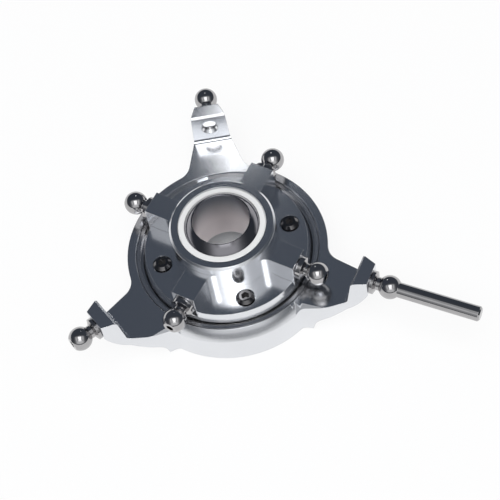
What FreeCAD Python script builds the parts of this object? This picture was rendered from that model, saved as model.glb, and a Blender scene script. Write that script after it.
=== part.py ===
"""Swashplate of a large model helicopter, for a 12 mm main shaft.

The frame is the pivot centre of the uniball: +Z runs up the main shaft and +X
points along the arm that carries the anti-rotation pin. Millimetres.

The stationary plate carries three ball studs on arms, 120 degrees apart. The
rotating plate carries four, 90 degrees apart, and turns in it on two
thin-section bearings. The uniball slides on the main shaft and lets both
plates tilt together.
"""
import FreeCAD, Part
import math
import os

Vec = FreeCAD.Vector
ORIGIN = Vec(0, 0, 0)
X_AXIS = Vec(1, 0, 0)
Z_AXIS = Vec(0, 0, 1)
FULL_TURN = 360.0

# ---- clearances -----------------------------------------------------------
slip_clearance = 0.02     # radial clearance of a pressed or located seat
ball_clearance = 0.04     # between a rolling or swivelling ball and its seat
shield_clearance = 0.10   # between a shield and the race that turns past it

# ---- heights, from the plane through all seven control ball centres -------
hub_top = 5.4             # upper face of the hub
tab_top = 3.0             # upper face of the four tabs
floor_z = -2.4            # upper face of the disc between the tabs
disc_bottom = -4.4        # underside of the disc
seat_top = -5.0           # where the bearings' upper faces lie
ring_top = -4.2           # upper face of the stationary ring and its arms
block_top = 3.0           # upper face of the blocks at the arms' ends

# ---- uniball and its liners ----------------------------------------------
shaft_bore_r = 6.0        # slides on a 12 mm main shaft
uniball_wall = 3.5        # from the bore to the ball's widest
uniball_r = shaft_bore_r + uniball_wall
uniball_half_height = 7.15
bore_chamfer = 0.12
liner_wall = 0.8
liner_outer_r = uniball_r + liner_wall    # bore of the hub that the liners sit in
liner_half_height = 5.3
liner_split = 0.05        # half the gap between the two liners
liner_step = 1.0          # the liners narrow by this where a lip holds them
liner_neck_r = liner_outer_r - liner_step
liner_chamfer = 0.25
lip_thickness = 1.0       # hub lip over the upper liner, sleeve lip under the lower

# ---- rotating plate --------------------------------------------------------
hub_wall = 0.85
hub_r = liner_outer_r + hub_wall
hub_chamfer = 0.45
tab_count = 4
tab_angle = -5.0          # first tab, measured from the anti-rotation arm
tab_width = 5.2
tab_root_fillet = 2.2     # between a tab's side and the hub
disc_taper = 0.7          # the disc narrows by this from its land up to its upper face
disc_land = 0.3

# ---- bearings: two of 31 x 38 x 4, one above the other -------------------
bearing_count = 2
bearing_seat_wall = 4.35  # from the hub's outside to the bearings' bore
bearing_bore_r = hub_r + bearing_seat_wall
bearing_section = 3.5
bearing_outer_r = bearing_bore_r + bearing_section
bearing_width = 4.0
race_thickness = 1.0
race_chamfer = 0.15
rolling_ball_r = 1.0
rolling_ball_count = 24
cage_thickness = 0.9
cage_height = 2.4
shield_thickness = 0.2
shield_depth = 0.15       # below the bearing's face
spacer_r = bearing_bore_r + race_thickness - shield_clearance  # shoulders on the inner races

# ---- disc and tabs, as far as the bearings reach -------------------------
disc_setback = 1.0        # the disc stays this far inside the bearings' outside
disc_r = bearing_outer_r - disc_setback
tab_setback = 0.4
tab_reach = disc_r - tab_setback      # outer face of a tab

# ---- clamp screws ----------------------------------------------------------
screw_angle = 40.0        # first screw, near the middle of a pocket
screw_offset = 2.95       # from the hub's outside to a screw's axis
screw_circle_r = hub_r + screw_offset
screw_r = 1.0
screw_head_r = 1.9
screw_head_height = 2.0
screw_hex = 1.5           # across flats
screw_hex_depth = 1.0
screw_length = 5.0
counterbore_r = screw_head_r + 0.18
counterbore_depth = 1.1   # the heads stand out of it
screw_hole_r = screw_r + 0.1
screw_head_chamfer = 0.6

# ---- inner sleeve ----------------------------------------------------------
sleeve_flange_height = 0.6
sleeve_lip_setback = 0.7   # inside the widest of the ball
sleeve_lip_r = uniball_r - sleeve_lip_setback
sleeve_wall = 3.1         # around the bore below the liner
sleeve_bore_r = bearing_bore_r - sleeve_wall
sleeve_thread_depth = screw_length - counterbore_depth + 1.5

# ---- stationary plate ------------------------------------------------------
ring_wall = 2.4
ring_r = bearing_outer_r + ring_wall
ring_slope = 1.6          # breadth of the slope between the two webs
ring_slope_drop = 2.5     # height of that slope
ring_slope_bulge = 0.06   # how far it bellies out
ring_shoulder_r = ring_r - ring_slope
ring_lip_width = 0.9      # bottom lip under the lower outer race
ring_lip_r = bearing_outer_r - ring_lip_width
ring_lip_thickness = 0.8
ring_bottom_chamfer = 0.4
retainer_groove = 0.5     # the spring ring's pocket is this much wider than the bearings
retainer_pocket_r = bearing_outer_r + retainer_groove
retainer_edge = 0.2       # chamfer at the mouth of the bore
retainer_width = 0.72
retainer_r = retainer_pocket_r - 0.08
retainer_inner_r = retainer_r - retainer_width
retainer_thickness = 0.65
retainer_gap = 2.4        # opening of the spring ring
retainer_gap_angle = 130.0

# ---- arms of the stationary plate, distances from its axis -----------------
arm_names = ["pin", "far", "left"]
arm_reach = 11.6
block_length = 2.7
block_outer_x = ring_r + arm_reach      # face that the ball stud seats on
block_inner_x = block_outer_x - block_length
block_inner_half = 3.65
block_outer_half = 2.6
block_bevel = 0.45        # along the upper inner edge
block_face_lean = 1.0     # inner face leans in by this, down to the fillet
block_foot = 1.6          # from the block's upper inner edge to where the arm narrows
arm_root_fillet = 0.8     # between the block's inner face and the arm
arm_half_at_block = 4.1
arm_half_at_ring = 4.95
far_arm_half_at_ring = 5.5
arm_ring_run = 2.2        # from the ring to where a plain side's blend starts
arm_ring_fillet = 4.0     # in plan, where an arm meets the ring
web_corner_run = 3.6      # from the ring to the web's outer corner
web_corner_half = 6.9
web_corner_fillet = 5.0
web_ring_run = 0.1
web_ring_half = 7.75
web_ring_fillet = 2.2
web_bevel_angle = 22.0    # where the web's bevel meets the ring's sloping edge
web_bevel_slope = 52.0
block_bottom = -1.5       # lower edge of the block's outer face
belly_run = 3.6           # underside of the arm: its curve starts this far from the ring
belly_z = -8.6
belly_mid_run = 9.4
belly_mid_z = -5.0
belly_foot_run = 0.7      # the underside turns down to the ring's wall
belly_foot_z = -13.0
belly_knee_run = 1.7
belly_knee_z = -10.2

# ---- ball studs ------------------------------------------------------------
ball_r = 2.5              # 5 mm control balls
stationary_ball_reach = 4.0           # from the block's face to the ball's centre
stationary_ball_circle = block_outer_x + stationary_ball_reach
rotating_ball_reach = 4.2
rotating_ball_circle = tab_reach + rotating_ball_reach
stud_neck_r = 1.4
stud_collar_r = 2.45
rotating_collar_length = 1.2
stationary_collar_length = 0.8
collar_cone = 0.45
collar_chamfer = 0.2
stud_shank_r = 1.5
rotating_shank_length = 5.0
stationary_shank_length = 2.9
stud_flat_r = 1.45        # flat on the end of a ball
stud_hex = 1.5
stud_hex_depth = 1.6
stud_hole_r = stud_shank_r + slip_clearance
hole_countersink = 0.3
spot_face_clearance = 0.15            # around a collar, where it passes the disc's rim
pin_r = 1.6               # anti-rotation pin
pin_length = 19.5         # from its ball's centre to its free end
pin_end_x = stationary_ball_circle + pin_length
pin_chamfer = 0.35


# ---- drawing helpers -------------------------------------------------------
def wire_of(start, moves, place):
    """Closed wire from a start point and moves; a move is a point, or an arc's middle and end."""
    edges = []
    here = start
    for move in moves + [start]:
        if len(move) == 2:
            middle, there = None, move
        else:
            middle, there = (move[0], move[1]), (move[2], move[3])
        if middle:
            edges.append(Part.Arc(place(*here), place(*middle), place(*there)).toShape())
        elif math.dist(here, there) > 0:
            edges.append(Part.makeLine(place(*here), place(*there)))
        here = there
    return Part.Wire(edges)


def turned(start, *moves):
    """Solid turned about Z from a profile of (radius, height) points."""
    face = Part.Face(wire_of(start, list(moves), lambda r, z: Vec(r, 0, z)))
    return face.revolve(ORIGIN, Z_AXIS, FULL_TURN)


def turned_along_x(start, *moves):
    """Solid turned about X from a profile of (distance, radius) points."""
    face = Part.Face(wire_of(start, list(moves), lambda x, r: Vec(x, 0, r)))
    return face.revolve(ORIGIN, X_AXIS, FULL_TURN)


def plate(start, moves, bottom, top):
    """Solid with an outline in plan, between two heights."""
    face = Part.Face(wire_of(start, moves, lambda x, y: Vec(x, y, bottom)))
    return face.extrude(Vec(0, 0, top - bottom))


def disc(radius, bottom, top, x=0.0, y=0.0):
    return Part.makeCylinder(radius, top - bottom, Vec(x, y, bottom))


def at_angle(shape, degrees):
    copy = shape.copy()
    copy.rotate(ORIGIN, Z_AXIS, degrees)
    return copy


def hexagon(across_flats, bottom, top):
    corner_r = across_flats / math.sqrt(3)
    corners = []
    for index in range(6):
        turn = math.radians(index * FULL_TURN / 6)
        corners.append((corner_r * math.cos(turn), corner_r * math.sin(turn)))
    return plate(corners[0], corners[1:], bottom, top)


def arm_angle(index):
    return index * FULL_TURN / len(arm_names)


def polar(radius, degrees):
    turn = math.radians(degrees)
    return radius * math.cos(turn), radius * math.sin(turn)


def beside_circle(near, far, circle_r, fillet_r):
    """Fillet between the line near-far and a circle about the origin, above the line.

    Gives the fillet's start on the line, its middle and its end on the circle.
    """
    length = math.dist(near, far)
    along = ((far[0] - near[0]) / length, (far[1] - near[1]) / length)
    normal = (along[1], -along[0])
    if normal[1] < 0:
        normal = (-normal[0], -normal[1])
    base = (near[0] + normal[0] * fillet_r, near[1] + normal[1] * fillet_r)
    half = base[0] * along[0] + base[1] * along[1]
    rest = base[0] ** 2 + base[1] ** 2 - (circle_r + fillet_r) ** 2
    reach = -half - math.sqrt(half * half - rest)
    if base[0] + along[0] * reach < 0:
        reach = -half + math.sqrt(half * half - rest)
    centre = (base[0] + along[0] * reach, base[1] + along[1] * reach)
    start = (centre[0] - normal[0] * fillet_r, centre[1] - normal[1] * fillet_r)
    shrink = circle_r / (circle_r + fillet_r)
    end = (centre[0] * shrink, centre[1] * shrink)
    bulge = ((start[0] + end[0]) / 2 - centre[0], (start[1] + end[1]) / 2 - centre[1])
    scale = fillet_r / math.hypot(*bulge)
    middle = (centre[0] + bulge[0] * scale, centre[1] + bulge[1] * scale)
    return start, middle, end


def flipped(move):
    """A point or arc on the other side of the X axis."""
    return tuple(-value if index % 2 else value for index, value in enumerate(move))


def backwards(start, moves):
    """The same run of lines and arcs from its end to its start."""
    points = [start] + [move[-2:] for move in moves]
    back = []
    for index in range(len(moves) - 1, -1, -1):
        back.append((*moves[index][:-2], *points[index]))
    return points[-1], back


def rounded(before, corner, after, radius):
    """Arc that rounds a corner of an outline: its start, its middle and its end."""
    to_before = Vec(before[0] - corner[0], before[1] - corner[1], 0).normalize()
    to_after = Vec(after[0] - corner[0], after[1] - corner[1], 0).normalize()
    half_angle = to_before.getAngle(to_after) / 2
    at = Vec(corner[0], corner[1], 0)
    run = radius / math.tan(half_angle)
    inward = (to_before + to_after).normalize()
    middle = at + inward * (radius / math.sin(half_angle) - radius)
    start = at + to_before * run
    end = at + to_after * run
    return (start.x, start.y), (middle.x, middle.y), (end.x, end.y)


# ---- uniball and liners ----------------------------------------------------
def uniball():
    """Steel ball with a sliding bore for the main shaft and flat ends."""
    rim_r = math.sqrt(uniball_r ** 2 - uniball_half_height ** 2)
    top = uniball_half_height
    bore_edge = shaft_bore_r + bore_chamfer
    return turned((shaft_bore_r, -top + bore_chamfer), (bore_edge, -top), (rim_r, -top),
                  (uniball_r, 0.0, rim_r, top), (bore_edge, top),
                  (shaft_bore_r, top - bore_chamfer))


def liner_seat_r(height):
    """Radius of the liners' spherical seat at a height."""
    return math.sqrt((uniball_r + ball_clearance) ** 2 - height ** 2)


def upper_liner():
    """Plastic ring over the ball, stepped so that its neck shows through the hub's lip."""
    top = liner_half_height
    shoulder = hub_top - lip_thickness
    seat_middle = (liner_seat_r(top / 2), top / 2)
    outer_r = liner_outer_r - slip_clearance
    neck_r = liner_neck_r - slip_clearance
    return turned((liner_seat_r(liner_split), liner_split), (outer_r, liner_split),
                  (outer_r, shoulder), (neck_r, shoulder),
                  (neck_r, top - liner_chamfer), (neck_r - liner_chamfer, top),
                  (liner_seat_r(top), top), (*seat_middle, liner_seat_r(liner_split), liner_split))


def lower_liner():
    """Plastic ring under the ball, held up by the sleeve's lip."""
    bottom = -liner_half_height
    seat_middle = (liner_seat_r(bottom / 2), bottom / 2)
    return turned((liner_seat_r(bottom), bottom), (liner_outer_r - slip_clearance, bottom),
                  (liner_outer_r - slip_clearance, -liner_split), (liner_seat_r(liner_split), -liner_split),
                  (*seat_middle, liner_seat_r(bottom), bottom))


# ---- rotating plate --------------------------------------------------------
def tab_cross():
    """Outline of hub and tabs in plan: tab sides run into the hub with fillets."""
    half = tab_width / 2
    root, root_middle, on_hub = beside_circle((tab_reach, half), (hub_r, half), hub_r, tab_root_fillet)
    step = FULL_TURN / tab_count

    def turn(point, index):
        angle = math.radians(index * step)
        return (point[0] * math.cos(angle) - point[1] * math.sin(angle),
                point[0] * math.sin(angle) + point[1] * math.cos(angle))

    moves = []
    for index in range(tab_count):
        moves.append(turn((tab_reach, half), index))
        moves.append(turn(root, index))
        moves.append((*turn(root_middle, index), *turn(on_hub, index)))
        hub_middle = polar(hub_r, step / 2)
        moves.append((*turn(hub_middle, index), *turn(flipped(on_hub), index + 1)))
        moves.append((*turn(flipped(root_middle), index + 1), *turn(flipped(root), index + 1)))
        if index < tab_count - 1:
            moves.append(turn((tab_reach, -half), index + 1))
    return plate((tab_reach, -half), moves, disc_bottom, tab_top)


def rotating_plate():
    """Hub, four tabs and disc in one piece, bored for the liners and the clamp screws."""
    body = at_angle(tab_cross(), tab_angle)
    rim = turned((liner_outer_r, floor_z), (hub_r, floor_z), (hub_r, hub_top - hub_chamfer),
                 (hub_r - hub_chamfer, hub_top), (liner_neck_r, hub_top), (liner_neck_r, floor_z))
    web = turned((0.0, seat_top), (spacer_r, seat_top), (spacer_r, disc_bottom), (disc_r, disc_bottom),
                 (disc_r, disc_bottom + disc_land), (disc_r - disc_taper, floor_z), (0.0, floor_z))
    body = body.fuse([rim, web])
    body = body.cut(disc(liner_outer_r, seat_top - 1, hub_top - lip_thickness))
    body = body.cut(disc(liner_neck_r, 0.0, hub_top + 1))
    for index in range(tab_count):
        x, y = polar(screw_circle_r, screw_angle + index * FULL_TURN / tab_count)
        body = body.cut(disc(counterbore_r, floor_z - counterbore_depth, tab_top, x, y))
        body = body.cut(disc(screw_hole_r, seat_top - 1, floor_z, x, y))
        hole = Part.makeCylinder(stud_hole_r, rotating_shank_length + disc_setback,
                                 Vec(tab_reach - rotating_shank_length, 0, 0), X_AXIS)
        spot_face = Part.makeCylinder(stud_collar_r + spot_face_clearance, rotating_ball_reach,
                                      Vec(tab_reach, 0, 0), X_AXIS)
        body = body.cut(at_angle(hole.fuse(spot_face), tab_angle + index * FULL_TURN / tab_count))
    return body.removeSplitter()


def inner_sleeve():
    """Lower half of the rotating hub: carries the inner races and the lower liner."""
    bottom = seat_top - bearing_count * bearing_width
    lip_top = -liner_half_height
    lip_bottom = lip_top - lip_thickness
    flare = sleeve_bore_r - sleeve_lip_r
    flange_bottom = bottom - sleeve_flange_height
    sleeve_r = bearing_bore_r - slip_clearance
    body = turned((liner_outer_r, seat_top), (sleeve_r, seat_top), (sleeve_r, bottom),
                  (spacer_r, bottom), (spacer_r, flange_bottom),
                  (sleeve_bore_r, flange_bottom), (sleeve_bore_r, lip_bottom - flare),
                  (sleeve_lip_r, lip_bottom), (sleeve_lip_r, lip_top), (liner_outer_r, lip_top))
    for index in range(tab_count):
        x, y = polar(screw_circle_r, screw_angle + index * FULL_TURN / tab_count)
        body = body.cut(disc(screw_r + slip_clearance, seat_top - sleeve_thread_depth, seat_top + 1, x, y))
    return body


def clamp_screws():
    """Four black socket head screws that clamp the plate to the sleeve."""
    seat = floor_z - counterbore_depth
    head_top = seat + screw_head_height
    screw = turned((0.0, seat - screw_length), (screw_r - slip_clearance, seat - screw_length),
                   (screw_r - slip_clearance, seat), (screw_head_r, seat),
                   (screw_head_r, head_top - screw_head_chamfer),
                   (screw_head_r - screw_head_chamfer, head_top), (0.0, head_top))
    screw = screw.cut(hexagon(screw_hex, head_top - screw_hex_depth, head_top + 1))
    screws = []
    for index in range(tab_count):
        one = screw.copy()
        x, y = polar(screw_circle_r, screw_angle + index * FULL_TURN / tab_count)
        one.translate(Vec(x, y, 0))
        screws.append(one)
    return Part.makeCompound(screws)


# ---- bearings --------------------------------------------------------------
def pitch_r():
    return (bearing_bore_r + bearing_outer_r) / 2


def bearing_middle(index):
    return seat_top - (index + 0.5) * bearing_width


def race(inner_r, outer_r, index):
    """Race ring with the groove that the balls roll in."""
    middle = bearing_middle(index)
    half = bearing_width / 2
    edge = race_chamfer
    ring = turned((inner_r, middle - half + edge), (inner_r + edge, middle - half),
                  (outer_r - edge, middle - half), (outer_r, middle - half + edge),
                  (outer_r, middle + half - edge), (outer_r - edge, middle + half),
                  (inner_r + edge, middle + half), (inner_r, middle + half - edge))
    groove = Part.makeTorus(pitch_r(), rolling_ball_r + ball_clearance, Vec(0, 0, middle))
    return ring.cut(groove)


def inner_race(index):
    return race(bearing_bore_r, bearing_bore_r + race_thickness, index)


def outer_race(index):
    return race(bearing_outer_r - race_thickness, bearing_outer_r - slip_clearance, index)


def rolling_balls(index):
    balls = []
    for step in range(rolling_ball_count):
        x, y = polar(pitch_r(), step * FULL_TURN / rolling_ball_count)
        balls.append(Part.makeSphere(rolling_ball_r, Vec(x, y, bearing_middle(index))))
    return Part.makeCompound(balls)


def cage(index):
    """Ring with a pocket for each ball."""
    middle = bearing_middle(index)
    inner = pitch_r() - cage_thickness / 2
    outer = pitch_r() + cage_thickness / 2
    ring = disc(outer, middle - cage_height / 2, middle + cage_height / 2)
    ring = ring.cut(disc(inner, middle - cage_height, middle + cage_height))
    for step in range(rolling_ball_count):
        pocket = Part.makeCylinder(rolling_ball_r + ball_clearance, 2 * cage_thickness,
                                   Vec(inner - cage_thickness / 2, 0, middle), X_AXIS)
        ring = ring.cut(at_angle(pocket, step * FULL_TURN / rolling_ball_count))
    return ring


def shield(outward):
    """Thin washer that closes the pair of bearings on one side, held by the outer race."""
    face = seat_top if outward > 0 else seat_top - bearing_count * bearing_width
    upper = face - shield_depth if outward > 0 else face + shield_depth + shield_thickness
    inner = bearing_bore_r + race_thickness + shield_clearance
    outer = bearing_outer_r - race_thickness - slip_clearance
    washer = disc(outer, upper - shield_thickness, upper)
    return washer.cut(disc(inner, upper - 1, upper + 1))


def bearing_retaining_ring():
    """Spring ring, split on one side, that keeps the outer races in the ring."""
    top = seat_top + retainer_thickness
    ring = turned((retainer_inner_r, seat_top), (retainer_r, seat_top), (retainer_r, top),
                  (retainer_inner_r, top))
    gap = Part.makeBox(retainer_r, retainer_gap, 2 * retainer_thickness,
                       Vec(retainer_inner_r - 1, -retainer_gap / 2, seat_top - retainer_thickness / 2))
    return ring.cut(at_angle(gap, retainer_gap_angle))


# ---- stationary plate ------------------------------------------------------
def stationary_ring():
    """Turned bearing housing: flat top, bottom lip, pocket for the spring ring, slope in front."""
    lip_top = seat_top - bearing_count * bearing_width
    bottom = lip_top - ring_lip_thickness
    ring = turned((ring_lip_r, bottom), (ring_r - ring_bottom_chamfer, bottom),
                  (ring_r, bottom + ring_bottom_chamfer), (ring_r, ring_top),
                  (retainer_pocket_r + retainer_edge, ring_top),
                  (retainer_pocket_r, ring_top - retainer_edge), (retainer_pocket_r, seat_top),
                  (bearing_outer_r, seat_top), (bearing_outer_r, lip_top), (ring_lip_r, lip_top))
    return ring.cut(slope_between_webs())


def slope_between_webs():
    """Material that the slope takes off the ring, from one web's bevel round to the other's."""
    slope = math.hypot(ring_slope, ring_slope_drop)
    middle = Vec(ring_shoulder_r + ring_slope / 2 + ring_slope_bulge * ring_slope_drop / slope, 0,
                 ring_top - ring_slope_drop / 2 + ring_slope_bulge * ring_slope / slope)
    upper = Vec(ring_shoulder_r, 0, ring_top)
    lower = Vec(ring_r, 0, ring_top - ring_slope_drop)
    above = Vec(0, 0, ring_slope_drop)
    beyond = Vec(ring_slope, 0, 0)
    outline = [Part.Arc(upper, middle, lower).toShape(), Part.makeLine(lower, lower + beyond),
               Part.makeLine(lower + beyond, lower + beyond + above + above),
               Part.makeLine(lower + beyond + above + above, upper + above),
               Part.makeLine(upper + above, upper)]
    start = arm_angle(arm_names.index("left")) + web_bevel_angle
    sweep = FULL_TURN / len(arm_names) - 2 * web_bevel_angle
    return at_angle(Part.Face(Part.Wire(outline)).revolve(ORIGIN, Z_AXIS, sweep), start)


def web_corner():
    return ring_r + web_corner_run, web_corner_half


def arm_side(webbed, half_at_ring):
    """Plan of one side of an arm on the +Y side, from the block's tip in to the ring's bore."""
    foot = (block_inner_x - block_foot, arm_half_at_block)
    moves = [(block_inner_x, block_inner_half)]
    if webbed:
        corner = web_corner()
        at_ring = (ring_r + web_ring_run, web_ring_half)
        start, middle, end = rounded(foot, corner, at_ring, web_corner_fillet)
        moves += [foot, start, (*middle, *end)]
        blend = beside_circle(end, at_ring, ring_r, web_ring_fillet)
    else:
        at_ring = (ring_r + arm_ring_run, half_at_ring)
        moves.append(foot)
        blend = beside_circle(foot, at_ring, ring_r, arm_ring_fillet)
    start, middle, end = blend
    inner_r = retainer_pocket_r + retainer_edge
    shrink = inner_r / math.hypot(*end)
    moves += [start, (*middle, *end), (end[0] * shrink, end[1] * shrink)]
    return (block_outer_x, block_outer_half), moves


def arm_plan(left_webbed, right_webbed, half_at_ring):
    """Whole arm in plan, pointing along +X; left is the +Y side."""
    start, moves = backwards(*arm_side(left_webbed, half_at_ring))
    tip, right_moves = arm_side(right_webbed, half_at_ring)
    moves.append(flipped(tip))
    moves += [flipped(move) for move in right_moves]
    moves.append((retainer_pocket_r + retainer_edge, 0.0, *start))
    return plate(start, moves, belly_foot_z, block_top)


def block_face():
    """Inner face of an end block from the side: its foot, its upper edge and its lean."""
    upper = (block_inner_x - block_bevel, block_top - block_bevel)
    foot = (upper[0] - block_face_lean, ring_top)
    lean = math.atan2(block_face_lean, upper[1] - ring_top)
    return foot, upper, lean


def arm_profile():
    """Arm seen from the side: flat top, leaning block, belly that curves up to the tip."""
    foot, upper, lean = block_face()
    before = (foot[0] - arm_reach, ring_top)
    start, middle, end = rounded(before, foot, upper, arm_root_fillet)
    inner_x = retainer_pocket_r / 2
    breadth = 2 * ring_r
    face = Part.Face(wire_of((inner_x, ring_top),
                             [start, (*middle, *end), upper, (block_inner_x, block_top),
                              (block_outer_x, block_top), (block_outer_x, block_bottom),
                              (ring_r + belly_mid_run, belly_mid_z, ring_r + belly_run, belly_z),
                              (ring_r + belly_knee_run, belly_knee_z,
                               ring_r + belly_foot_run, belly_foot_z),
                              (inner_x, belly_foot_z)],
                             lambda x, z: Vec(x, -breadth / 2, z)))
    return face.extrude(Vec(0, breadth, 0))


def web_bevel(side):
    """Material that the bevel takes off a web, from the ring's sloping edge to the web's corner."""
    start_x, start_y = polar(ring_shoulder_r, web_bevel_angle)
    start = Vec(start_x, side * start_y, ring_top)
    corner = web_corner()
    along = Vec(corner[0], side * corner[1], ring_top) - start
    out = Vec(-along.y, along.x, 0).normalize() * side
    reach = arm_reach / 2
    drop = reach * math.tan(math.radians(web_bevel_slope))
    corners = [start, start + out * reach - Vec(0, 0, drop), start + out * reach + Vec(0, 0, reach),
               start + Vec(0, 0, reach), start]
    return Part.Face(Part.makePolygon(corners)).extrude(along)


def stud_hole():
    """Hole for an arm's ball stud, countersunk where it comes out of the inner face."""
    foot, upper, lean = block_face()
    mouth_x = foot[0] - foot[1] * math.tan(lean)
    hole = Part.makeCylinder(stud_hole_r, arm_reach, Vec(block_outer_x + 1 - arm_reach, 0, 0), X_AXIS)
    cone = Part.makeCone(stud_hole_r + 2 * hole_countersink, stud_hole_r, 2 * hole_countersink,
                         Vec(mouth_x - hole_countersink, 0, 0), X_AXIS)
    return hole.fuse(cone)


def stationary_plate():
    """Bearing housing with three arms; the pin's arm and the left arm carry a web between them."""
    profile = arm_profile()
    arms = []
    holes = []
    for index, name in enumerate(arm_names):
        left_webbed = name == "left"
        right_webbed = name == "pin"
        half = far_arm_half_at_ring if name == "far" else arm_half_at_ring
        arm = arm_plan(left_webbed, right_webbed, half).common(profile)
        if left_webbed:
            arm = arm.cut(web_bevel(+1))
        if right_webbed:
            arm = arm.cut(web_bevel(-1))
        arms.append(at_angle(arm, arm_angle(index)))
        holes.append(at_angle(stud_hole(), arm_angle(index)))
    return stationary_ring().fuse(arms).cut(holes).removeSplitter()


# ---- ball studs ------------------------------------------------------------
def stud_body(face_x, ball_x, collar_length, shank_length):
    """Profile points of a stud from its threaded end to the ball's inner side."""
    collar_end = face_x + collar_length
    cone_end = collar_end + collar_cone
    ball_start = ball_x - math.sqrt(ball_r ** 2 - stud_neck_r ** 2)
    return [(face_x - shank_length, 0.0), (face_x - shank_length, stud_shank_r),
            (face_x, stud_shank_r), (face_x, stud_collar_r - collar_chamfer),
            (face_x + collar_chamfer, stud_collar_r), (collar_end, stud_collar_r),
            (cone_end, stud_neck_r), (ball_start, stud_neck_r)]


def ball_stud(face_x, ball_x, collar_length, shank_length):
    """Ball stud with a flat, socketed end, screwed in along the arm."""
    flat_x = ball_x + math.sqrt(ball_r ** 2 - stud_flat_r ** 2)
    points = stud_body(face_x, ball_x, collar_length, shank_length)
    points += [(ball_x, ball_r, flat_x, stud_flat_r), (flat_x, 0.0)]
    stud = turned_along_x(points[0], *points[1:])
    socket = hexagon(stud_hex, 0.0, stud_hex_depth + 1)
    socket.rotate(ORIGIN, Vec(0, 1, 0), FULL_TURN / 4)
    socket.translate(Vec(flat_x - stud_hex_depth, 0, 0))
    return stud.cut(socket)


def anti_rotation_pin():
    """Ball stud that runs on into a long pin, which slides in the guide of the frame."""
    pin_start = stationary_ball_circle + math.sqrt(ball_r ** 2 - pin_r ** 2)
    points = stud_body(block_outer_x, stationary_ball_circle, stationary_collar_length,
                       stationary_shank_length)
    points += [(stationary_ball_circle, ball_r, pin_start, pin_r), (pin_end_x - pin_chamfer, pin_r),
               (pin_end_x, pin_r - pin_chamfer), (pin_end_x, 0.0)]
    return turned_along_x(points[0], *points[1:])


# ---- the assembly ----------------------------------------------------------
def build():
    nodes = {
        "stationary_plate": stationary_plate(),
        "bearing_retaining_ring": bearing_retaining_ring(),
        "upper_bearing_shield": shield(+1),
        "lower_bearing_shield": shield(-1),
        "rotating_plate": rotating_plate(),
        "inner_sleeve": inner_sleeve(),
        "clamp_screws": clamp_screws(),
        "upper_ball_liner": upper_liner(),
        "lower_ball_liner": lower_liner(),
        "uniball": uniball(),
        "anti_rotation_pin": anti_rotation_pin(),
    }
    for index, level in enumerate(["upper", "lower"]):
        nodes[level + "_bearing_outer_race"] = outer_race(index)
        nodes[level + "_bearing_inner_race"] = inner_race(index)
        nodes[level + "_bearing_cage"] = cage(index)
        nodes[level + "_bearing_balls"] = rolling_balls(index)
    arm_stud = ball_stud(block_outer_x, stationary_ball_circle, stationary_collar_length,
                         stationary_shank_length)
    for index, name in enumerate(arm_names):
        if name != "pin":
            nodes[name + "_arm_ball_stud"] = at_angle(arm_stud, arm_angle(index))
    tab_stud = ball_stud(tab_reach, rotating_ball_circle, rotating_collar_length,
                         rotating_shank_length)
    for index in range(tab_count):
        angle = tab_angle + index * FULL_TURN / tab_count
        nodes["rotating_ball_stud_%d" % (index + 1)] = at_angle(tab_stud, angle)
    return nodes


os.makedirs("parts", exist_ok=True)
for node, shape in build().items():
    shape.exportStep("parts/%s.step" % node)
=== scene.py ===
"""Swashplate of a model helicopter, as it comes off the polishing bench.

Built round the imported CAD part: the machined plates, the bearings between them,
the uniball in its white liners, and the ball studs screwed into the arms and tabs.
"""
import math

import bpy
from mathutils import Matrix, Vector


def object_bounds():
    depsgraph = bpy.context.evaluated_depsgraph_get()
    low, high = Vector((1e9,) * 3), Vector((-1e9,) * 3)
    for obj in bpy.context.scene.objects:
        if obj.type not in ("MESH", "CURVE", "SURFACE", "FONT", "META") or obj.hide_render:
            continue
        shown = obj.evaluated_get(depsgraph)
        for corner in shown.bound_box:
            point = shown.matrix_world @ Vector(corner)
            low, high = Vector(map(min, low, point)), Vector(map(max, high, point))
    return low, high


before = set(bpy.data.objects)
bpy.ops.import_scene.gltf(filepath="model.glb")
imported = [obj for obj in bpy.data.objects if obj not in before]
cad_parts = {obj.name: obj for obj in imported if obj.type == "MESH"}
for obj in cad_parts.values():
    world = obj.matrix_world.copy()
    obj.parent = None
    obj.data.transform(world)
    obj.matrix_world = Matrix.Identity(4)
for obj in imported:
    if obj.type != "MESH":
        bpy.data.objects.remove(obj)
cad_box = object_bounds()
bpy.ops.object.select_all(action="DESELECT")
MM = 0.001


# ---- stationary plate -----------------------------------------------------
# The housing of both bearings with its three arms, turned and milled from one
# aluminium billet, then polished and clear anodised. Fine turning marks run round it.
class Finish:
    """An output socket of a material's nodes. Sums on it add Math nodes."""

    def __init__(self, tree, socket=None):
        self.tree = tree
        self.socket = socket

    def node(self, kind, settings=None, sockets=None, output=0):
        """Adds a node: its settings first, then the values or links of its sockets."""
        added = self.tree.nodes.new(kind)
        for name, value in (settings or {}).items():
            if name == "stops":
                ramp = added.color_ramp.elements
                while len(ramp) < len(value):
                    ramp.new(0.5)
                for stop, (place, colour) in zip(ramp, value):
                    stop.position = place
                    stop.color = (*colour, 1.0)
            else:
                setattr(added, name, value)
        for name, value in (sockets or {}).items():
            if isinstance(value, Finish):
                self.tree.links.new(value.socket, added.inputs[name])
            else:
                added.inputs[name].default_value = value
        return Finish(self.tree, added.outputs[output])

    def maths(self, operation, *values):
        return self.node("ShaderNodeMath", {"operation": operation}, dict(enumerate(values)))

    def __add__(self, other):
        return self.maths("ADD", self, other)

    def __sub__(self, other):
        return self.maths("SUBTRACT", self, other)

    def __rsub__(self, other):
        return self.maths("SUBTRACT", other, self)

    def __mul__(self, other):
        return self.maths("MULTIPLY", self, other)

    def __truediv__(self, other):
        return self.maths("DIVIDE", self, other)

    __radd__ = __add__
    __rmul__ = __mul__


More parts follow.
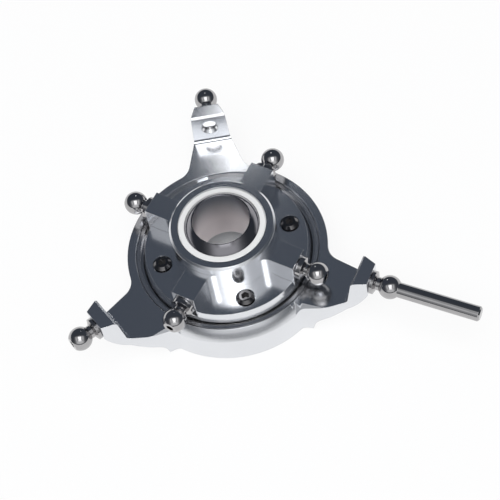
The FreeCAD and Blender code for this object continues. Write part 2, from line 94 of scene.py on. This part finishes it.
def place_on(material):
    """Starts a material and gives the point, the height and the distance from the shaft's axis."""
    material.use_nodes = True
    tree = material.node_tree
    tree.nodes.clear()
    start = Finish(tree)
    point = start.node("ShaderNodeTexCoord", output=3)
    x, y, z = (start.node("ShaderNodeSeparateXYZ", sockets={0: point}, output=axis) for axis in range(3))
    squared = x * x + y * y
    radius = squared.maths("SQRT", squared)
    return point, z, radius


def close_on(material, point, shader):
    """Ends a material with its shader on the output."""
    tree = material.node_tree
    output = tree.nodes.new("ShaderNodeOutputMaterial")
    tree.links.new(shader.socket, output.inputs["Surface"])


def clouds(point, size, detail=3.0):
    """Soft noise with patches of about that size."""
    return point.node("ShaderNodeTexNoise",
                      sockets={"Vector": point, "Scale": 1 / size, "Detail": detail})


def turning_marks(place, pitch):
    """Fine uneven grooves along one direction, as a tool leaves them."""
    return place.node("ShaderNodeTexNoise", {"noise_dimensions": "1D"},
                      {"W": place / pitch, "Scale": 1.0, "Detail": 2.0})


def edge_normal(point, radius):
    """Normal that rounds sharp edges off by a small radius."""
    return point.node("ShaderNodeBevel", {"samples": 6}, {"Radius": radius})


def bumped(height, strength, bore_painted_light, normal):
    """Normal that follows a height pattern of that depth."""
    return height.node("ShaderNodeBump", sockets={"Height": height, "Strength": strength,
                                                  "Distance": bore_painted_light, "Normal": normal})


def blend(factor, low, high):
    """Colour between two colours, each given by numbers or by a socket."""
    ends = [end if isinstance(end, Finish) else (*end, 1.0) for end in (low, high)]
    return factor.node("ShaderNodeMix", {"data_type": "RGBA"},
                       {0: factor, 6: ends[0], 7: ends[1]}, output=2)


ALUMINIUM = (0.79, 0.805, 0.83)
ALUMINIUM_DULL = (0.73, 0.742, 0.77)


def machined_aluminium(name, mark_depth, roughness_low):
    """Polished aluminium with turning marks, faint smears and softly broken edges."""
    material = bpy.data.materials.new(name)
    point, z, radius = place_on(material)
    smears = clouds(point, 9 * MM)
    grain = clouds(point, 0.4 * MM, 2.0)
    marks = turning_marks(radius + z, 0.09 * MM)
    roughness = roughness_low + smears * 0.08 + marks * 0.05
    normal = bumped(marks * mark_depth + grain * 0.05, 0.35, 0.01 * MM, edge_normal(point, 0.14 * MM))
    shader = point.node("ShaderNodeBsdfPrincipled",
                        sockets={"Base Color": blend(smears, ALUMINIUM, ALUMINIUM_DULL), "Metallic": 1.0,
                                 "Roughness": roughness, "Normal": normal})
    close_on(material, point, shader)
    return material


def dress(names, material):
    """Puts a material on CAD nodes."""
    for name in names:
        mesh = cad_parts[name].data
        mesh.materials.clear()
        mesh.materials.append(material)


plate_aluminium = machined_aluminium("plate_aluminium", 0.2, 0.12)
dress(["stationary_plate"], plate_aluminium)

# ---- bearings -------------------------------------------------------------
# Two thin-section ball bearings of polished chrome steel, with pressed brass
# cages and a thin bright shield on the outer side of each.
CHROME_STEEL = (0.62, 0.62, 0.63)
CHROME_STEEL_DARK = (0.5, 0.5, 0.515)


def bright_steel(name, low, high, roughness, mark_strength=0.03):
    """Ground or polished steel."""
    material = bpy.data.materials.new(name)
    point, z, radius = place_on(material)
    smears = clouds(point, 3 * MM)
    marks = turning_marks(radius + z, 0.05 * MM)
    normal = bumped(marks, mark_strength, 0.01 * MM, edge_normal(point, 0.06 * MM))
    shader = point.node("ShaderNodeBsdfPrincipled",
                        sockets={"Base Color": blend(smears, low, high), "Metallic": 1.0,
                                 "Roughness": smears * 0.05 + roughness, "Normal": normal})
    close_on(material, point, shader)
    return material


bearing_steel = bright_steel("bearing_steel", CHROME_STEEL, CHROME_STEEL_DARK, 0.16)
cage_brass = bright_steel("cage_brass", (0.72, 0.54, 0.27), (0.6, 0.43, 0.2), 0.25)
for level in ("upper", "lower"):
    steel_parts = ("outer_race", "inner_race", "balls", "shield")
    dress([level + "_bearing_" + part for part in steel_parts], bearing_steel)
    dress([level + "_bearing_cage"], cage_brass)

# ---- retaining ring -------------------------------------------------------
# A spring ring of satin steel that sits in its pocket over the upper bearing
# and shows as a thin bright line in the gap round the rotating plate.
spring_steel = bright_steel("spring_steel", (0.75, 0.75, 0.76), (0.66, 0.66, 0.68), 0.22)
dress(["bearing_retaining_ring"], spring_steel)

# ---- rotating plate and its sleeve ----------------------------------------
# Hub, tabs and disc turned and milled from the same polished aluminium, and the
# sleeve under it that the four screws pull up against the inner races.
rotating_aluminium = machined_aluminium("rotating_aluminium", 0.35, 0.12)
dress(["rotating_plate", "inner_sleeve"], rotating_aluminium)

# ---- clamp screws ---------------------------------------------------------
# Four small socket head screws of hardened steel, in black oxide and still oily, that
# stand a little proud of their counterbores between the tabs.
OXIDE = (0.13, 0.128, 0.13)
OXIDE_OILY = (0.17, 0.167, 0.17)
black_oxide = bpy.data.materials.new("black_oxide")
point, z, radius = place_on(black_oxide)
oil = clouds(point, 1.2 * MM)
shader = point.node("ShaderNodeBsdfPrincipled",
                    sockets={"Base Color": blend(oil, OXIDE, OXIDE_OILY), "Metallic": 1.0,
                             "Roughness": oil * 0.06 + 0.05, "Normal": edge_normal(point, 0.06 * MM)})
close_on(black_oxide, point, shader)
dress(["clamp_screws"], black_oxide)

# ---- ball liners ----------------------------------------------------------
# White acetal rings turned to the ball; only the upper one's neck shows, as a
# satin white ring inside the hub's lip.
white_acetal = bpy.data.materials.new("white_acetal")
point, z, radius = place_on(white_acetal)
marks = turning_marks(radius + z, 0.08 * MM)
shade = clouds(point, 5 * MM)
shader = point.node("ShaderNodeBsdfPrincipled",
                    sockets={"Base Color": blend(shade, (0.82, 0.82, 0.81), (0.76, 0.765, 0.76)),
                             "Roughness": marks * 0.1 + 0.3,
                             "Normal": bumped(marks, 0.08, 0.01 * MM, edge_normal(point, 0.1 * MM))})
close_on(white_acetal, point, shader)
dress(["upper_ball_liner", "lower_ball_liner"], white_acetal)

# ---- uniball --------------------------------------------------------------
# Hardened steel ball, mirror polished outside and honed to satin inside its bore,
# where the main shaft slides; the bore's colour holds painted shade, dark at its upper end, and a
# painted pale reflection below.
BORE_R = 6.05 * MM
BALL_STEEL = (0.26, 0.255, 0.275)
# Painted shade and painted reflection in the bore: a pale colour low down and a dark one at the top, set
# by height.
BORE_PAINTED_PALE = (0.95, 0.87, 0.87)
BORE_PAINTED_SHADE = (0.20, 0.215, 0.25)
BORE_PAINTED_SHADE_Z = 6.5 * MM
BORE_PAINTED_PALE_Z = -2 * MM
uniball_steel = bpy.data.materials.new("uniball_steel")
point, z, radius = place_on(uniball_steel)
in_bore = radius.maths("LESS_THAN", radius, BORE_R)
smears = clouds(point, 4 * MM)
# Painted shading of the bore: its colour goes from the dark painted shade at the top to the pale painted
# reflection below.
bore_painted_light = z.node("ShaderNodeMapRange", {"interpolation_type": "SMOOTHSTEP"},
               {0: z, 1: BORE_PAINTED_SHADE_Z, 2: BORE_PAINTED_PALE_Z})
bore_painted_shading = blend(bore_painted_light, BORE_PAINTED_SHADE, BORE_PAINTED_PALE)
normal = bumped(turning_marks(z, 0.06 * MM) * in_bore, 0.06, 0.01 * MM, edge_normal(point, 0.08 * MM))
shader = point.node("ShaderNodeBsdfPrincipled",
                    sockets={"Base Color": blend(in_bore, BALL_STEEL, bore_painted_shading), "Metallic": 1.0,
                             "Roughness": smears * 0.04 + 0.07 + in_bore * 0.22, "Normal": normal})
close_on(uniball_steel, point, shader)
dress(["uniball"], uniball_steel)

# ---- ball studs and the anti-rotation pin ---------------------------------
# Control balls turned from hardened steel in one piece with collar, neck and
# threaded shank, then tumbled to a dark mirror. All lie along a radius.
STUD_STEEL = (0.46, 0.455, 0.46)
STUD_STEEL_DARK = (0.38, 0.375, 0.38)
THREAD_PITCH = 0.5 * MM
TAB_FACE = 17.6 * MM
TAB_BALL_END = 26 * MM
ARM_FACE = 33 * MM
stud_steel = bpy.data.materials.new("stud_steel")
point, z, radius = place_on(stud_steel)
in_tab = radius.maths("LESS_THAN", radius, TAB_FACE)
past_tab = radius.maths("GREATER_THAN", radius, TAB_BALL_END)
in_arm = radius.maths("LESS_THAN", radius, ARM_FACE)
turns = radius * (2 * math.pi / THREAD_PITCH)
thread = turns.maths("SINE", turns)
threaded = in_tab + past_tab * in_arm
smears = clouds(point, 1.5 * MM)
normal = bumped(thread * threaded, 0.6, 0.12 * MM, edge_normal(point, 0.08 * MM))
shader = point.node("ShaderNodeBsdfPrincipled",
                    sockets={"Base Color": blend(smears, STUD_STEEL, STUD_STEEL_DARK), "Metallic": 1.0,
                             "Roughness": smears * 0.05 + 0.05, "Normal": normal})
close_on(stud_steel, point, shader)
dress([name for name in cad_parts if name.endswith(("ball_stud", "rotation_pin"))], stud_steel)
dress(["rotating_ball_stud_%d" % number for number in range(1, 5)], stud_steel)

# ---- studio ---------------------------------------------------------------
# A white table under the part, white all round to the camera but for a painted shadow under the part,
# and for the metal to mirror a dim room with a tall window, paler strips to its sides and a low far
# backdrop.
TABLE_SIZE = 4.0
TABLE_GLOW = 0.88
# Painted shadow under the part: the radii within which the table's glow fades out.
PAINTED_SHADOW_R = 15 * MM
PAINTED_SHADOW_SOFT = 5 * MM
PAINTED_SHADOW_GLOSSY_LESS = 8 * MM
bpy.ops.mesh.primitive_plane_add(size=TABLE_SIZE, location=(0, 0, cad_box[0][2]))
bpy.ops.object.transform_apply(location=True)
table = bpy.context.object
table.name = "table"
pale = bpy.data.materials.new("pale_table")
point, z, radius = place_on(pale)
seen = point.node("ShaderNodeLightPath", output=0)
glossy = point.node("ShaderNodeLightPath", output=3)
passing = point.node("ShaderNodeLightPath", output=6)
either = seen + glossy + passing
paper = point.node("ShaderNodeBsdfDiffuse", sockets={"Color": (0.88, 0.88, 0.885, 1.0)})
glow = point.node("ShaderNodeEmission", sockets={"Color": (1.0, 1.0, 1.0, 1.0), "Strength": 1.0})
# Painted shadow: within 15 mm of the shaft's axis the table's glow fades out, 8 mm less for glossy rays,
# so the paper there goes dark.
clear = point.node("ShaderNodeMapRange", {"interpolation_type": "SMOOTHSTEP"},
                   {0: radius + glossy * PAINTED_SHADOW_GLOSSY_LESS, 1: PAINTED_SHADOW_R, 2: PAINTED_SHADOW_R + PAINTED_SHADOW_SOFT})
share = either.maths("MINIMUM", either, 1.0) * clear * TABLE_GLOW
close_on(pale, point, point.node("ShaderNodeMixShader", sockets={0: share, 1: paper, 2: glow}))
table.data.materials.append(pale)

# The room is drawn by direction: front and side lie level, and rise is the angle from
# the front up over the part. Only camera rays see the world as white.
WINDOW_TURN = math.radians(29.4)
FRONT = (math.sin(WINDOW_TURN), -math.cos(WINDOW_TURN), 0.0)
SIDEWAYS = (math.cos(WINDOW_TURN), math.sin(WINDOW_TURN), 0.0)
ROOM_DARK = (0.068, 0.079, 0.100)
ROOM_DIM = (0.090, 0.097, 0.11)
BACKDROP = (0.88, 0.885, 0.89)
world = bpy.data.worlds.new("studio")
bpy.context.scene.world = world
world.use_nodes = True
world.node_tree.nodes.clear()
room = Finish(world.node_tree)
direction = room.node("ShaderNodeTexCoord", output=0)


def along(axis):
    """How far the direction points along an axis."""
    return direction.node("ShaderNodeVectorMath", {"operation": "DOT_PRODUCT"},
                          {0: direction, 1: axis}, output=1)


def rising(value, low, high):
    """Goes smoothly from 0 to 1 between two values."""
    return value.node("ShaderNodeMapRange", {"interpolation_type": "SMOOTHSTEP"},
                      {0: value, 1: low, 2: high})


def within(value, low, high, soft):
    """1 between two values, with soft ends."""
    return rising(value, low - soft, low + soft) * (1 - rising(value, high - soft, high + soft))


front = along(FRONT)
side = along(SIDEWAYS)
up = along((0.0, 0.0, 1.0))
rise = up.maths("ARCTAN2", up, front)
aside = side.maths("ABSOLUTE", side)
window = within(rise, 0.62, 1.32, 0.10) * (1 - rising(aside, 0.17, 0.33))
strips = within(aside, 0.40, 0.62, 0.10) * within(up, 0.55, 0.90, 0.14) * rising(front, -0.05, 0.25)
upper = within(rise, 1.12, 1.42, 0.10) * (1 - rising(aside, 0.20, 0.36))
haze = within(rise, 0.16, 1.50, 0.15) * (1 - rising(aside, 0.45, 0.90))
sill = within(rise, 0.14, 0.62, 0.12) * (1 - rising(aside, 0.30, 0.70))
backdrop = (1 - rising(up, 0.0, 0.14)) * (1 - rising(front, -0.45, 0.15))
dark = blend(rising(front, -0.6, 0.6), ROOM_DARK, ROOM_DIM)
walls = blend(backdrop, dark, BACKDROP)
light = window * 1.5 + upper * 1.0 + strips * 0.45 + haze * 0.32 + sill * 0.5
white_light = room.node("ShaderNodeVectorMath", {"operation": "SCALE"},
                        {0: (1.0, 1.0, 1.0), "Scale": light})
lit = room.node("ShaderNodeVectorMath", {"operation": "ADD"}, {0: walls, 1: white_light})
seen = room.node("ShaderNodeLightPath", output=0)
colour = blend(seen, lit, (1.0, 1.0, 1.0))
back = room.node("ShaderNodeBackground", sockets={"Color": colour, "Strength": 1.0})
output = world.node_tree.nodes.new("ShaderNodeOutputWorld")
world.node_tree.links.new(back.socket, output.inputs["Surface"])


def softbox(name, azimuth, elevation, distance, breadth, power, in_gloss):
    """A square soft light that faces the part; azimuth 0 is in front, along -Y."""
    turn = math.radians(azimuth)
    lift = math.radians(elevation)
    towards = Vector((math.sin(turn) * math.cos(lift), -math.cos(turn) * math.cos(lift),
                      math.sin(lift)))
    data = bpy.data.lights.new(name, "AREA")
    data.shape = "SQUARE"
    data.size = breadth
    data.energy = power
    lamp = bpy.data.objects.new(name, data)
    lamp.location = towards * distance
    lamp.rotation_euler = towards.to_track_quat("Z", "Y").to_euler()
    lamp.visible_glossy = in_gloss
    bpy.context.collection.objects.link(lamp)


softbox("soft_overhead", 10.0, 70.0, 1.0, 0.9, 7.5, False)
softbox("small_key", 32.0, 57.0, 1.0, 0.2, 0.35, True)

# A small lamp, as bright as a lit card, behind the far arm. That arm's flat mirrors it
# to the main camera.
CARD_AT = Vector((-0.0464, 0.0886, 0.0980))
CARD_FACES = Vector((0.0, 0.0258, -0.0042))
CARD_TILT = math.radians(33.0)
CARD_SIZE = (17 * MM, 8 * MM)
CARD_POWER = 0.0018
card_data = bpy.data.lights.new("far_card", "AREA")
card_data.shape = "RECTANGLE"
card_data.size, card_data.size_y = CARD_SIZE
card_data.energy = CARD_POWER
card = bpy.data.objects.new("far_card", card_data)
away = (CARD_AT - CARD_FACES).normalized()
level = Vector(SIDEWAYS)
level = (level - away * level.dot(away)).normalized()
across = level * math.cos(CARD_TILT) + away.cross(level) * math.sin(CARD_TILT)
card.matrix_world = (Matrix.Translation(CARD_AT)
                     @ Matrix((across, away.cross(across), away)).transposed().to_4x4())
card.visible_camera = False
bpy.context.collection.objects.link(card)

# ---- camera ---------------------------------------------------------------
# Looks down on the near pocket between the two webbed arms, from beyond the pin's
# side, with the pin running out to the lower right.
ELEVATION = math.radians(56.05)
AZIMUTH = math.radians(29.445)
ROLL = math.radians(8.963)
DISTANCE = 362.518 * MM
OFFSET = (-15.779 * MM, -7.933 * MM)
LENS = 124.14
SHIFT = -0.1
back_axis = Vector((math.sin(AZIMUTH) * math.cos(ELEVATION), -math.cos(AZIMUTH) * math.cos(ELEVATION),
                    math.sin(ELEVATION)))
right_axis = Vector((math.cos(AZIMUTH), math.sin(AZIMUTH), 0.0))
up_axis = back_axis.cross(right_axis)
right = right_axis * math.cos(ROLL) - up_axis * math.sin(ROLL)
up = right_axis * math.sin(ROLL) + up_axis * math.cos(ROLL)
camera_data = bpy.data.cameras.new("camera")
camera_data.lens = LENS
camera_data.sensor_width = 36.0
camera_data.shift_x = SHIFT
camera_data.shift_y = SHIFT
camera_data.clip_start = 0.01
camera = bpy.data.objects.new("camera", camera_data)
bpy.context.collection.objects.link(camera)
turn = Matrix((right, up, back_axis)).transposed().to_4x4()
eye = back_axis * DISTANCE - right * OFFSET[0] - up * OFFSET[1]
camera.matrix_world = Matrix.Translation(eye) @ turn
bpy.context.scene.camera = camera
bpy.context.scene.view_settings.view_transform = "Standard"
